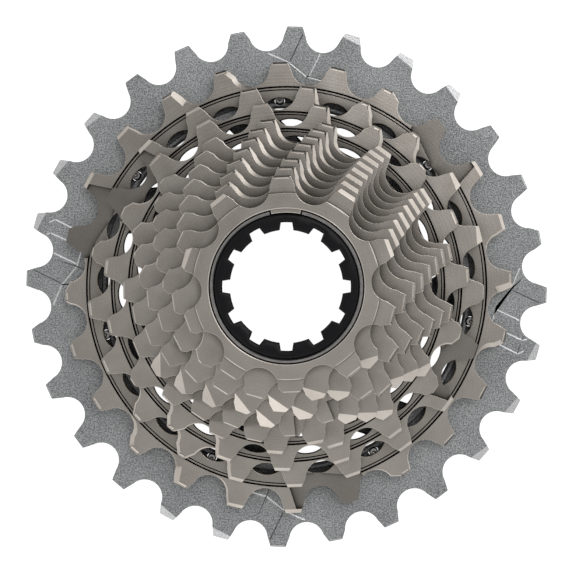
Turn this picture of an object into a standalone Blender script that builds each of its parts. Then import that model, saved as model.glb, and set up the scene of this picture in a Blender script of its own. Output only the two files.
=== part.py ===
"""Twelve-speed bicycle cassette: eleven steel sprockets stepping down from a
28-tooth aluminium sprocket on a seven-arm carrier, with the lock tube that
turns inside the smallest one. The axis is +Z, the small sprockets are on top,
and the back face of the largest sprocket is at Z = 0. Metres throughout.
Angles named "clockwise" start at +Y and turn towards +X, as seen from above.
"""

import math

import bmesh
import bpy
from mathutils import Matrix, Vector

MM = 0.001
GAP = 0.3 * MM

# Chain and tooth form
CHAIN_PITCH = 12.7 * MM
ROLLER_SEAT_RADIUS = 3.9 * MM
ROOT_DROP = 3.87 * MM
TIP_RISE = 1.5 * MM
TIP_WIDTH = 3.4 * MM
SEAT_HALF_ANGLE = math.radians(78)
SEAT_SEGMENTS = 4

# Sprocket stack: teeth and the clockwise angle of one tooth, largest first
SPROCKETS = (
    (28, 1.87),
    (24, 13.3),
    (21, 5.8),
    (19, 10.1),
    (17, 14.6),
    (16, 12.0),
    (15, 10.0),
    (14, 7.7),
    (13, 5.3),
    (12, 2.5),
    (11, 0.0),
    (10, -2.5),
)
PLATE_THICKNESS = 1.6 * MM
SPROCKET_PITCH = 3.65 * MM

# Hollow dome walls, one ring behind each steel sprocket
WALL_BELOW_ROOT = 0.4 * MM
WALL_THICKNESS = 0.9 * MM
WALL_OVERLAP = 0.5 * MM
ROUND_SEGMENTS = 48

# Lens-shaped web holes: larger sprocket -> (radius of centres, half length, half width)
WEB_HOLES = {
    24: (40.7 * MM, 3.1 * MM, 1.3 * MM),
    21: (36.4 * MM, 2.9 * MM, 0.8 * MM),
    19: (32.25 * MM, 2.85 * MM, 0.6 * MM),
}
LENS_SEGMENTS = 4

# Hub of the smallest sprocket and the parts inside it
TUBE_SEAT_RADIUS = 15.3 * MM
SHOULDER_RADIUS = 14.5 * MM
HUB_BOSS_RADIUS = 18.0 * MM
HUB_BOSS_RISE = 0.3 * MM
HUB_CHAMFER = 0.35 * MM
HUB_WALL_STEP = 0.2 * MM

WASHER_THICKNESS = 0.5 * MM
FLANGE_RADIUS = 14.95 * MM
FLANGE_THICKNESS = 0.9 * MM
END_FLOAT = 0.4 * MM
RING_THICKNESS = 0.8 * MM
RING_INNER_RADIUS = 14.45 * MM
RING_OUTER_RADIUS = 15.0 * MM
RING_GAP_ANGLES = (-13.0, 12.0)
KEY_ANGLES = (-11.8, 10.8)
KEY_INNER_RADIUS = 14.5 * MM
KEY_OUTER_RADIUS = 16.2 * MM
KEY_DEPTH = 0.95 * MM
KEY_RISE = 0.1 * MM
KEY_SEGMENTS = 6

TUBE_NOSE_RADIUS = 14.15 * MM
NOSE_STEP = 0.05 * MM
TUBE_BORE_RADIUS = 12.95 * MM
THREAD_RADIUS = 13.4 * MM
THREAD_DEPTH = 6.0 * MM
TUBE_LENGTH = 16.5 * MM
TUBE_RECESS = 0.25 * MM
SPLINE_LENGTH = 5.0 * MM
SPLINE_COUNT = 12
SPLINE_MAJOR_RADIUS = 12.85 * MM
SPLINE_MINOR_RADIUS = 11.3 * MM
NOTCH_OUTER_HALF_ANGLE = math.radians(5.0)
NOTCH_INNER_HALF_ANGLE = math.radians(7.0)

# Carrier of the largest sprocket
CARRIER_THICKNESS = 2.8 * MM
SPIGOT_RADIUS = 43.15 * MM
WINDOW_OUTER_RADIUS = 40.0 * MM
WINDOW_INNER_RADIUS = 27.0 * MM
ARM_COUNT = 7
FIRST_ARM_ANGLE = 349.2
ARM_HALF_WIDTH = 4.75 * MM
ARM_OFFSET = 20.58 * MM
ARM_NORMAL_ANGLE = 55.7
COLLAR_RADIUS = 20.5 * MM
COLLAR_HEIGHT = 8.0 * MM
DRIVER_SPLINES = 18
DRIVER_MAJOR_RADIUS = 18.2 * MM
DRIVER_MINOR_RADIUS = 17.2 * MM

# Pins between the dome and the carrier
PIN_ORBIT = 41.6 * MM
PIN_ANGLE_FROM_ARM = 8.7
PIN_RADIUS = 1.0 * MM
PIN_RECESS = 0.2 * MM
PIN_SEGMENTS = 10


# Angles and outlines

def polar(radius, clockwise_degrees):
    """Point in the XY plane at a clockwise angle from +Y."""
    angle = math.radians(clockwise_degrees)
    return Vector((radius * math.sin(angle), radius * math.cos(angle)))


def pitch_radius(teeth):
    return CHAIN_PITCH / (2 * math.sin(math.pi / teeth))


def root_radius(teeth):
    return pitch_radius(teeth) - ROOT_DROP


def seat_point(teeth, gullet_angle, turn):
    """Point on a roller seat, at an angle turned from the seat's lowest point."""
    inward = pitch_radius(teeth) - ROLLER_SEAT_RADIUS * math.cos(turn)
    sideways = ROLLER_SEAT_RADIUS * math.sin(turn)
    radius = math.hypot(inward, sideways)
    return polar(radius, gullet_angle + math.degrees(math.atan2(sideways, inward)))


def seat_turns(limit):
    steps = range(SEAT_SEGMENTS + 1)
    return [limit * (2 * step / SEAT_SEGMENTS - 1) for step in steps]


def tooth_outline(teeth, tooth_angle):
    """Clockwise outline of a sprocket: roller seats with flat-topped teeth between them."""
    step = 360 / teeth
    tip_radius = pitch_radius(teeth) + TIP_RISE
    tip_half_angle = math.degrees(TIP_WIDTH / 2 / tip_radius)
    points = []
    for tooth in range(teeth):
        middle = tooth_angle + tooth * step
        points.append(polar(tip_radius, middle - tip_half_angle))
        points.append(polar(tip_radius, middle + tip_half_angle))
        for turn in seat_turns(SEAT_HALF_ANGLE):
            points.append(seat_point(teeth, middle + step / 2, turn))
    return points


def boss_outline(teeth, tooth_angle, radius):
    """Outline of a round boss that the roller seats cut into."""
    pitch = pitch_radius(teeth)
    seat = ROLLER_SEAT_RADIUS
    cosine = (pitch ** 2 + seat ** 2 - radius ** 2) / (2 * pitch * seat)
    step = 360 / teeth
    points = []
    for tooth in range(teeth):
        middle = tooth_angle + tooth * step
        points.append(polar(radius, middle))
        for turn in seat_turns(math.acos(cosine)):
            points.append(seat_point(teeth, middle + step / 2, turn))
    return points


def circle_outline(radius, segments=ROUND_SEGMENTS, centre=Vector((0, 0))):
    return [centre + polar(radius, 360 * step / segments) for step in range(segments)]


def lens_outline(orbit, clockwise_degrees, half_length, half_width):
    """Pointed oval, its long side along the circle around the axis."""
    outward = polar(1, clockwise_degrees)
    along = polar(1, clockwise_degrees + 90)
    centre = outward * orbit
    points = []
    for side in (1, -1):
        for step in range(LENS_SEGMENTS):
            position = side * (1 - 2 * step / LENS_SEGMENTS)
            bulge = side * (1 - position ** 2)
            points.append(centre + along * half_length * position + outward * half_width * bulge)
    return points


def notch_outline():
    """Bore with the lock tool's notches cut into its edge."""
    points = []
    for notch in range(SPLINE_COUNT):
        middle = 360 * notch / SPLINE_COUNT
        inner = math.degrees(NOTCH_INNER_HALF_ANGLE)
        outer = math.degrees(NOTCH_OUTER_HALF_ANGLE)
        points.append(polar(SPLINE_MINOR_RADIUS, middle - inner))
        points.append(polar(SPLINE_MAJOR_RADIUS, middle - outer))
        points.append(polar(SPLINE_MAJOR_RADIUS, middle + outer))
        points.append(polar(SPLINE_MINOR_RADIUS, middle + inner))
        points.append(polar(SPLINE_MINOR_RADIUS, middle + 180 / SPLINE_COUNT))
    return points


def driver_spline_outline():
    """Splined bore that fits over the freehub driver."""
    points = []
    step = 360 / DRIVER_SPLINES
    for spline in range(DRIVER_SPLINES):
        start = spline * step
        points.append(polar(DRIVER_MINOR_RADIUS, start))
        points.append(polar(DRIVER_MINOR_RADIUS, start + 0.4 * step))
        points.append(polar(DRIVER_MAJOR_RADIUS, start + 0.5 * step))
        points.append(polar(DRIVER_MAJOR_RADIUS, start + 0.9 * step))
    return points


def line_at_radius(offset, normal_angle, radius):
    """Clockwise angle where a straight side at this offset from the axis meets a circle."""
    return normal_angle - math.degrees(math.acos(offset / radius))


def window_outline(arm_angle):
    """Opening between a slanted arm and the next one clockwise."""
    step = 360 / ARM_COUNT
    near = ARM_OFFSET + ARM_HALF_WIDTH
    far = ARM_OFFSET - ARM_HALF_WIDTH
    points = []
    for radius, direction in ((WINDOW_OUTER_RADIUS, 1), (WINDOW_INNER_RADIUS, -1)):
        start = line_at_radius(near, ARM_NORMAL_ANGLE, radius)
        end = line_at_radius(far, ARM_NORMAL_ANGLE + step, radius)
        angles = [start + (end - start) * part / 5 for part in range(6)]
        points += [polar(radius, arm_angle + angle) for angle in angles[::direction]]
    return points


def arm_angles():
    return [FIRST_ARM_ANGLE - arm * 360 / ARM_COUNT for arm in range(ARM_COUNT)]


# Solids

def principled(name, colour, metallic, roughness):
    material = bpy.data.materials.new(name)
    material.use_nodes = True
    shader = material.node_tree.nodes["Principled BSDF"]
    shader.inputs["Base Color"].default_value = (*colour, 1)
    shader.inputs["Metallic"].default_value = metallic
    shader.inputs["Roughness"].default_value = roughness
    material.diffuse_color = (*colour, 1)
    return material


def object_from(name, bm, material=None):
    bmesh.ops.recalc_face_normals(bm, faces=bm.faces)
    mesh = bpy.data.meshes.new(name)
    bm.to_mesh(mesh)
    bm.free()
    mesh.shade_smooth()
    mesh.set_sharp_from_angle(angle=math.radians(30))
    if material:
        mesh.materials.append(material)
    obj = bpy.data.objects.new(name, mesh)
    bpy.context.scene.collection.objects.link(obj)
    return obj


def add_loop(bm, outline, z):
    corners = [bm.verts.new((point.x, point.y, z)) for point in outline]
    return [bm.edges.new((a, b)) for a, b in zip(corners, corners[1:] + corners[:1])]


def prism(name, outlines, bottom, top, material=None):
    """Plate between two heights; the first outline is its edge, the others are holes."""
    bm = bmesh.new()
    edges = []
    for outline in outlines:
        edges += add_loop(bm, outline, bottom)
    filled = bmesh.ops.triangle_fill(bm, use_beauty=True, use_dissolve=False, edges=edges)
    faces = [item for item in filled["geom"] if isinstance(item, bmesh.types.BMFace)]
    raised = bmesh.ops.extrude_face_region(bm, geom=faces, use_keep_orig=True)
    moved = [item for item in raised["geom"] if isinstance(item, bmesh.types.BMVert)]
    bmesh.ops.translate(bm, verts=moved, vec=(0, 0, top - bottom))
    return object_from(name, bm, material)


def turned(name, profile, material=None, segments=ROUND_SEGMENTS):
    """Ring from a closed profile of (radius, height) points, spun round the axis."""
    bm = bmesh.new()
    corners = [bm.verts.new((radius, 0, z)) for radius, z in profile]
    edges = [bm.edges.new((a, b)) for a, b in zip(corners, corners[1:] + corners[:1])]
    bmesh.ops.spin(
        bm,
        geom=corners + edges,
        cent=(0, 0, 0),
        axis=(0, 0, 1),
        angle=2 * math.pi,
        steps=segments,
        use_merge=True,
        use_duplicate=False,
    )
    bmesh.ops.remove_doubles(bm, verts=bm.verts, dist=1e-6)
    return object_from(name, bm, material)


def combine(target, helper, operation):
    """Boolean with a helper that stays out of the render."""
    modifier = target.modifiers.new(helper.name, "BOOLEAN")
    modifier.operation = operation
    modifier.solver = "EXACT"
    modifier.object = helper
    helper.hide_render = True
    helper.display_type = "WIRE"


# Sub-parts

def front_height(index):
    """Front face of a sprocket's teeth, counted from the largest one."""
    return PLATE_THICKNESS + index * SPROCKET_PITCH


def wall_outer(teeth):
    return root_radius(teeth) - WALL_BELOW_ROOT


def wall_inner(teeth):
    return max(wall_outer(teeth) - WALL_THICKNESS, TUBE_SEAT_RADIUS + HUB_WALL_STEP)


def web_holes(teeth, gullets, gullet_angle):
    """Lens holes just outside the roller seats of the next smaller sprocket."""
    if teeth not in WEB_HOLES:
        return []
    orbit, half_length, half_width = WEB_HOLES[teeth]
    step = 360 / gullets
    return [
        lens_outline(orbit, gullet_angle + hole * step, half_length, half_width)
        for hole in range(gullets)
    ]


def web_inner(index):
    """Inner radius of a steel sprocket's plate, under the wall of the next smaller one."""
    teeth = SPROCKETS[index][0]
    if teeth == 10:
        return TUBE_SEAT_RADIUS
    if teeth == 11:
        return SHOULDER_RADIUS
    smaller = SPROCKETS[index + 1][0]
    return wall_inner(smaller)


def steel_sprocket(index, material):
    """Tooth plate and the stretch of dome wall behind it."""
    teeth, tooth_angle = SPROCKETS[index]
    front = front_height(index)
    back = front - PLATE_THICKNESS
    next_front = front_height(index - 1) + GAP
    holes = []
    if index + 1 < len(SPROCKETS):
        smaller, smaller_angle = SPROCKETS[index + 1]
        holes = web_holes(teeth, smaller, smaller_angle + 180 / smaller)
    bore = circle_outline(web_inner(index))
    outlines = [tooth_outline(teeth, tooth_angle), bore] + holes
    sprocket = prism(f"sprocket_{teeth}t", outlines, back, front, material)

    outer = wall_outer(teeth)
    inner = wall_inner(teeth)
    buried = back + WALL_OVERLAP
    profile = [(outer, next_front), (outer, buried), (inner, buried), (inner, next_front)]
    combine(sprocket, turned(f"wall_{teeth}t", profile), "UNION")
    return sprocket


def ring_key(front):
    """Key in the retaining ring's gap, which keeps the ring from turning."""
    start, end = KEY_ANGLES
    angles = [start + (end - start) * step / KEY_SEGMENTS for step in range(KEY_SEGMENTS + 1)]
    outline = [polar(KEY_OUTER_RADIUS, angle) for angle in angles]
    outline += [polar(KEY_INNER_RADIUS, angle) for angle in reversed(angles)]
    return prism("ring_key", [outline], front - KEY_DEPTH, front + KEY_RISE)


def smallest_sprocket(material):
    """Smallest sprocket: its teeth, the raised hub face, the ring's key and the tube's seat."""
    index = len(SPROCKETS) - 1
    teeth, tooth_angle = SPROCKETS[index]
    sprocket = steel_sprocket(index, material)
    front = front_height(index)
    bore = circle_outline(TUBE_SEAT_RADIUS + HUB_CHAMFER)
    face = boss_outline(teeth, tooth_angle, HUB_BOSS_RADIUS)
    boss = prism("hub_face", [face, bore], front - PLATE_THICKNESS / 2, front + HUB_BOSS_RISE)
    combine(sprocket, boss, "UNION")
    combine(sprocket, ring_key(front), "UNION")
    return sprocket


def largest_sprocket(material):
    """Aluminium sprocket: tooth ring, carrier with slanted arms, and driver spline."""
    teeth, tooth_angle = SPROCKETS[0]
    windows = [window_outline(angle) for angle in arm_angles()]
    pin_holes = [
        circle_outline(PIN_RADIUS + GAP, PIN_SEGMENTS, polar(PIN_ORBIT, angle + PIN_ANGLE_FROM_ARM))
        for angle in arm_angles()
    ]
    spline = driver_spline_outline()
    rim = [tooth_outline(teeth, tooth_angle), spline] + windows + pin_holes
    sprocket = prism(f"sprocket_{teeth}t", rim, 0, PLATE_THICKNESS, material)
    spigot = [circle_outline(SPIGOT_RADIUS), spline] + windows + pin_holes
    carrier = prism("carrier", spigot, PLATE_THICKNESS / 2, CARRIER_THICKNESS)
    sleeve = [circle_outline(COLLAR_RADIUS), spline]
    collar = prism("collar", sleeve, CARRIER_THICKNESS / 2, COLLAR_HEIGHT)
    combine(sprocket, carrier, "UNION")
    combine(sprocket, collar, "UNION")
    return sprocket


def dome_pins(material):
    """Pins that fasten the steel dome to the carrier, one beside each arm."""
    top = front_height(1) - PLATE_THICKNESS - GAP
    middle = (top + PIN_RECESS) / 2
    pins = []
    for number, angle in enumerate(arm_angles(), 1):
        bm = bmesh.new()
        bmesh.ops.create_cone(
            bm,
            cap_ends=True,
            segments=PIN_SEGMENTS,
            radius1=PIN_RADIUS,
            radius2=PIN_RADIUS,
            depth=top - PIN_RECESS,
        )
        pin = object_from(f"dome_pin_{number}", bm, material)
        place = polar(PIN_ORBIT, angle + PIN_ANGLE_FROM_ARM)
        pin.location = (place.x, place.y, middle)
        pins.append(pin)
    return pins


def tube_front():
    return front_height(len(SPROCKETS) - 1) - TUBE_RECESS


def washer_bottom():
    return front_height(len(SPROCKETS) - 2) + GAP


def flange_bottom():
    return washer_bottom() + WASHER_THICKNESS + GAP


def thrust_washer(material):
    """Thin ring that the tube's flange turns on."""
    bottom = washer_bottom()
    top = bottom + WASHER_THICKNESS
    inner = SHOULDER_RADIUS
    outer = FLANGE_RADIUS
    profile = [(outer, top), (outer, bottom), (inner, bottom), (inner, top)]
    return turned("thrust_washer", profile, material)


def lock_tube(material):
    """Tube with a flange, the tool spline at its front and the threaded bore behind."""
    front = tube_front()
    back = front - TUBE_LENGTH
    flange = flange_bottom()
    flange_top = flange + FLANGE_THICKNESS
    profile = [
        (TUBE_NOSE_RADIUS, front - SPLINE_LENGTH / 2),
        (TUBE_NOSE_RADIUS, flange_top),
        (FLANGE_RADIUS, flange_top),
        (FLANGE_RADIUS, flange),
        (TUBE_NOSE_RADIUS, flange),
        (TUBE_NOSE_RADIUS, back),
        (THREAD_RADIUS, back),
        (THREAD_RADIUS, front - THREAD_DEPTH),
        (TUBE_BORE_RADIUS, front - THREAD_DEPTH),
        (TUBE_BORE_RADIUS, front - SPLINE_LENGTH / 2),
    ]
    outline = [circle_outline(TUBE_NOSE_RADIUS - NOSE_STEP), notch_outline()]
    tube = prism("lock_tube", outline, front - SPLINE_LENGTH, front, material)
    combine(tube, turned("tube_body", profile), "UNION")
    return tube


def retaining_ring(material):
    """Split spring ring in front of the flange, open at the top."""
    bottom = flange_bottom() + FLANGE_THICKNESS + END_FLOAT + GAP
    start, end = RING_GAP_ANGLES[1], 360 + RING_GAP_ANGLES[0]
    segments = 44
    angles = [start + (end - start) * step / segments for step in range(segments + 1)]
    outline = [polar(RING_OUTER_RADIUS, angle) for angle in angles]
    outline += [polar(RING_INNER_RADIUS, angle) for angle in reversed(angles)]
    return prism("retaining_ring", [outline], bottom, bottom + RING_THICKNESS, material)


def clear_scene():
    for obj in list(bpy.data.objects):
        bpy.data.objects.remove(obj, do_unlink=True)


def build():
    clear_scene()
    steel = principled("nickel_steel", (0.36, 0.33, 0.30), 1.0, 0.38)
    aluminium = principled("blasted_aluminium", (0.52, 0.53, 0.53), 1.0, 0.48)
    black = principled("black_anodised", (0.012, 0.012, 0.014), 0.4, 0.4)
    spring = principled("spring_steel", (0.55, 0.54, 0.51), 1.0, 0.22)
    bronze = principled("washer_bronze", (0.45, 0.32, 0.16), 1.0, 0.35)

    axis = bpy.data.objects.new("cassette_axis", None)
    bpy.context.scene.collection.objects.link(axis)
    pieces = [largest_sprocket(aluminium)]
    pieces += [steel_sprocket(index, steel) for index in range(1, len(SPROCKETS) - 1)]
    pieces.append(smallest_sprocket(steel))
    pieces.append(retaining_ring(spring))
    pieces += dome_pins(spring)
    washer = thrust_washer(bronze)
    washer.parent = axis
    tube = lock_tube(black)
    tube.parent = washer
    for piece in pieces:
        piece.matrix_parent_inverse = Matrix()
        piece.parent = axis


build()
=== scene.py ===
import math
from collections import namedtuple

import bmesh
import bpy
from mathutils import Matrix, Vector

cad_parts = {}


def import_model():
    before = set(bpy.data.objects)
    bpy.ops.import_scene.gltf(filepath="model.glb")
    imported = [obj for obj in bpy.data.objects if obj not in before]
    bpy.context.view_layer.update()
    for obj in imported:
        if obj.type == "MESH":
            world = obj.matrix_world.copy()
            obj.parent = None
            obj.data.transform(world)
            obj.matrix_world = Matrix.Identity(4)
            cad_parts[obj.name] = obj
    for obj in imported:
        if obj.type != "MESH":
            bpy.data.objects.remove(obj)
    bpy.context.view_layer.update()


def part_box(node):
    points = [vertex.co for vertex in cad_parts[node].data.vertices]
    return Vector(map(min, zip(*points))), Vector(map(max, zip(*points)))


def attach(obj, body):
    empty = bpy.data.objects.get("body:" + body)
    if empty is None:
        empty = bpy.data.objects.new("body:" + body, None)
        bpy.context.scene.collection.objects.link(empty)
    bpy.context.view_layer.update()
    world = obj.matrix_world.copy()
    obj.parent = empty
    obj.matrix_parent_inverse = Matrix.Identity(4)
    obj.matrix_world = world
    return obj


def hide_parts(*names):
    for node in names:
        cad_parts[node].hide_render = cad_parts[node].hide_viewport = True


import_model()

# Lengths in this script are millimetres and become metres when a mesh is made.
# Angles named clockwise start at +Y and turn towards +X, as seen from the front.
MM = 0.001

# Tooth form, by the same rules as the CAD: how far the gullets lie inside the pitch circle
# and the tips outside it, and how many degrees a roller seat turns to each side
CHAIN_PITCH = 12.7
SEAT_RADIUS = 3.9
ROOT_DROP = 3.87
TIP_RISE = 1.5
SEAT_LIMIT = 76.0
SEAT_STEPS = 16
PLATE = 1.6

# Widths of the front chamfers: on a plain edge, on a tooth's tip, and on the tips of the
# styles listed (see TOOTH_STYLES)
EDGE = 0.06
TIP_EDGE = 0.7
SMALL_TIP_EDGE = 0.3
SMALL_TIPS = "uEFDxHijkK56789J"
# A tip's corners are rounded over this length. A corner and the tip's chamfer each take no
# more than their share of the tip's width.
CORNER = 0.16
CORNER_STEPS = 4
CORNER_SHARE = 0.4
TIP_EDGE_SHARE = 0.45
# A flank's wide chamfer fades out between these degrees from the bottom of the roller seat
FADE_START = 6.0
FADE_END = 56.0
FADE_POWER = 0.8
# Height of a chamfer over its width
CHAMFER_HEIGHT = 0.573
# A chamfer is made of two faces that meet at this share of its width from the flat. The
# meeting line lies at a share of the chamfer's height: the first is straight, the second
# leaves a shallow inner face and a steep outer one.
BEND_AT = 0.4
STRAIGHT = 0.4
BROW = 0.24
# Least cosine that a mitred corner is worked out with
SHARPEST_MITRE = 0.5
# Width of an edge that is hidden or is joined to another part, and how far a fillet
# reaches into its plate
JOINED_EDGE = 0.02

# Parts of a full turn in round edges and in turned grooves
SEGMENTS = 128
GROOVE_SEGMENTS = 160

# Cutters of the teeth: how far they stand above the front face, how far they reach from
# their line, and how far ahead of it they start where it has no step
CLEARANCE = 1.0
CUT_REACH = 7.0
CUT_MARGIN = 0.3

# Walls of the dome: how far they lie inside the gullets, their thickness, how far they
# reach into their plate, and the gap left to the next larger sprocket
WALL_BELOW_ROOT = 0.4
WALL_THICKNESS = 0.9
WALL_BURIED = 0.5
WALL_GAP = 0.04
# Bores round the lock tube: its seat, the shoulder behind that, and how far the inside
# of a dome wall stays clear of the seat's radius
TUBE_SEAT = 15.3
SHOULDER = 14.5
SEAT_LIP = 0.2
# Raised face round the bore of the smallest sprocket: radius, rise, depth and chamfers
HUB_BOSS = 18.4
HUB_BOSS_RISE = 0.3
HUB_BOSS_DEPTH = 1.2
HUB_BOSS_EDGE = 0.22
HUB_BORE_EDGE = 0.15

# Steel sprockets, largest first: teeth, clockwise angle of the first tooth, and the
# shape of each tooth in turn (see TOOTH_STYLES)
STEEL = (
    (24, 13.3, "qPRrVWNq" * 3),
    (21, 6.2, "AnnSSkRrTTTamoqqKRrT."),
    (19, 10.85, "AnjqqijTTTanjqqi.TT"),
    (17, 14.6, "ABBb.CCTTxxuuFEDA"),
    (16, 12.0, "ABBb.CCTxxCuFEDA"),
    (15, 10.0, "ABBb.CCHxCuFEDA"),
    (14, 7.7, "ABBb..HCCxuEDA"),
    (13, 5.3, "ABBb..CCuuEDA"),
    (12, 2.5, "ABBb.CCuuEDA"),
    (11, 0.0, "ABBbCCuFuDA"),
    (10, -2.5, ".BBb.uuusB"),
)
LARGEST = (28, 1.87, "5666758" + "5666J58" + "5669J58" + "5666J58")

# Each style: tip half widths on the anticlockwise and clockwise sides, how far the tip
# is lowered, chamfer widths on the two flanks, and the cut worked into the tooth, if it
# has one. A cut is a straight line in the tooth's own frame (sideways clockwise, outwards
# from the tip circle), the slope of the face beyond its left side in degrees, and the
# step down at the line.
Tooth = namedtuple("Tooth", "left right drop left_edge right_edge cut", defaults=(None,))
BAND = ((-4, -0.9), (4, -0.9), 28, 0.0)
TOOTH_STYLES = {
    ".": Tooth(1.7, 1.7, 0.15, EDGE, EDGE),
    "q": Tooth(1.7, 1.7, 0.45, EDGE, EDGE),
    "u": Tooth(1.75, 1.75, 1.1, EDGE, EDGE),
    "k": Tooth(1.7, 1.2, 0.9, EDGE, EDGE),
    "A": Tooth(1.7, 1.7, 0.1, EDGE, 0.75),
    "a": Tooth(1.5, 1.6, 0.15, EDGE, 0.75, BAND),
    "B": Tooth(1.7, 1.7, 0.0, EDGE, EDGE, BAND),
    "b": Tooth(1.7, 1.7, 0.0, EDGE, EDGE, ((-4, -0.55), (4, -0.55), 24, 0.0)),
    "T": Tooth(1.5, 1.55, 0.15, EDGE, EDGE, BAND),
    "C": Tooth(0.9, 1.55, 0.7, EDGE, EDGE, ((-3.0, -0.45), (4.0, -4.86), 22, 0.0)),
    "D": Tooth(1.6, 1.5, 0.6, EDGE, 0.15),
    "E": Tooth(1.5, 0.1, 1.0, EDGE, EDGE),
    "F": Tooth(0.5, 0.3, 1.1, EDGE, 0.2),
    "H": Tooth(1.6, 1.6, 0.7, EDGE, EDGE, ((-0.5, -5.0), (-0.9, 1.0), 4, 0.4)),
    "x": Tooth(1.7, 1.6, 0.7, EDGE, EDGE, ((5.0, -2.2), (-5.0, -6.0), 6, 0.0)),
    "S": Tooth(1.7, 1.7, 0.0, EDGE, EDGE, ((-4, -0.3), (4, -1.9), 26, 0.0)),
    "s": Tooth(1.7, 1.7, 1.0, EDGE, EDGE, ((-4, -1.7), (4, -2.3), 28, 0.0)),
    "P": Tooth(1.85, 0.25, 1.05, 0.2, 0.2),
    "N": Tooth(1.7, 1.0, 0.35, EDGE, 1.0),
    "n": Tooth(0.8, 0.9, 0.25, 0.2, 0.75),
    "m": Tooth(0.9, 0.8, 0.25, 0.4, 0.7),
    "o": Tooth(1.4, 0.9, 0.3, EDGE, 0.3),
    "i": Tooth(1.4, 0.7, 1.0, EDGE, 0.3),
    "j": Tooth(0.9, 0.8, 0.8, EDGE, EDGE),
    "V": Tooth(1.7, 1.7, 0.0, EDGE, 0.45, ((-4, -0.8), (4, -0.8), 27, 0.0)),
    "W": Tooth(1.7, 1.5, 0.15, EDGE, 0.2, ((0.0, 0.6), (1.5, -4.2), 27, 0.0)),
    "R": Tooth(1.6, 1.5, 0.3, EDGE, EDGE),
    "r": Tooth(1.7, 1.7, 0.0, EDGE, EDGE, BAND),
    "K": Tooth(1.2, 0.6, 0.9, EDGE, 0.15),
    "5": Tooth(1.7, 1.7, 0.0, 0.2, 0.2),
    "6": Tooth(1.7, 1.7, 0.0, 0.2, 0.2, ((-5, -0.35), (5, -2.6), 25, 0.12)),
    "7": Tooth(1.7, 1.7, 0.0, 0.2, 0.2, ((-4, -2.8), (4, -2.8), 5, 0.12)),
    "8": Tooth(1.5, 1.5, 0.4, 0.2, 0.2),
    "9": Tooth(1.7, 1.7, 0.0, 0.2, 0.2, ((-5, -0.35), (5, -2.6), 6, 0.12)),
    "J": Tooth(1.7, 1.7, 0.0, 0.2, 0.2, ((-4, -2.8), (4, -2.8), 12, 0.1)),
}

# Web holes: orbit, half length, half width
WEB_HOLES = {24: (40.4, 3.45, 1.4), 21: (35.95, 3.15, 0.85), 19: (32.0, 3.1, 0.62)}
# Turned lines on the webs: radius, width and depth of each
WEB_LINES = {
    24: ((44.15, 0.4, 0.45), (43.5, 0.25, 0.2), (38.7, 0.45, 0.5)),
    21: ((38.2, 0.4, 0.45), (37.6, 0.25, 0.2), (34.5, 0.45, 0.5)),
    19: ((34.1, 0.4, 0.45), (33.5, 0.25, 0.2), (30.9, 0.4, 0.45)),
}
# Fullness of a web hole's sides, and how far the holes are turned from the middles
# between the next sprocket's teeth, in degrees
LENS_POWER = 2.4
WEB_HOLE_TURN = 0.4
# Pocket milled into two neighbouring teeth for shifting: its depth, and its outline as
# (share of a tooth step clockwise from the first tooth, radius from the root circle)
POCKET_DEPTH = 0.6
POCKET = (
    (-0.47, 6.5), (0.5, 6.5), (0.5, 4.45), (0.945, 4.45), (1.06, -0.3), (0.9, -3.2), (0.5, -3.2),
    (0.3, -2.6), (0.0, -1.5), (-0.34, -0.4),
)


# Points and outlines

def polar(radius, clockwise):
    angle = math.radians(clockwise)
    return Vector((radius * math.sin(angle), radius * math.cos(angle)))


def blend(first, last, share):
    return first + (last - first) * share


def arc(radius, start, span, steps):
    """Evenly spaced points of an arc round the axis, with both its ends."""
    return [polar(radius, start + span * part / steps) for part in range(steps + 1)]


def pitch_radius(teeth):
    return CHAIN_PITCH / (2 * math.sin(math.pi / teeth))


def root_radius(teeth):
    return pitch_radius(teeth) - ROOT_DROP


def tip_radius(teeth):
    return pitch_radius(teeth) + TIP_RISE


def seat_point(teeth, gullet, turn):
    inward = pitch_radius(teeth) - SEAT_RADIUS * math.cos(math.radians(turn))
    sideways = SEAT_RADIUS * math.sin(math.radians(turn))
    radius = math.hypot(inward, sideways)
    return polar(radius, gullet + math.degrees(math.atan2(sideways, inward)))


def rounded(before, corner, after, size, steps=CORNER_STEPS):
    """Points of a corner rounded off over a length on each side of it."""
    start = corner + (before - corner).normalized() * size
    end = corner + (after - corner).normalized() * size
    points = []
    for step in range(steps + 1):
        t = step / steps
        points.append(start * (1 - t) ** 2 + corner * 2 * t * (1 - t) + end * t ** 2)
    return points


def flank_width(wide, turn):
    """Chamfer width on a roller seat, fading from the flank's to the plain one at the bottom."""
    share = max(0.0, min(1.0, (abs(turn) - FADE_START) / (FADE_END - FADE_START)))
    return EDGE + (wide - EDGE) * share ** FADE_POWER


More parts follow.
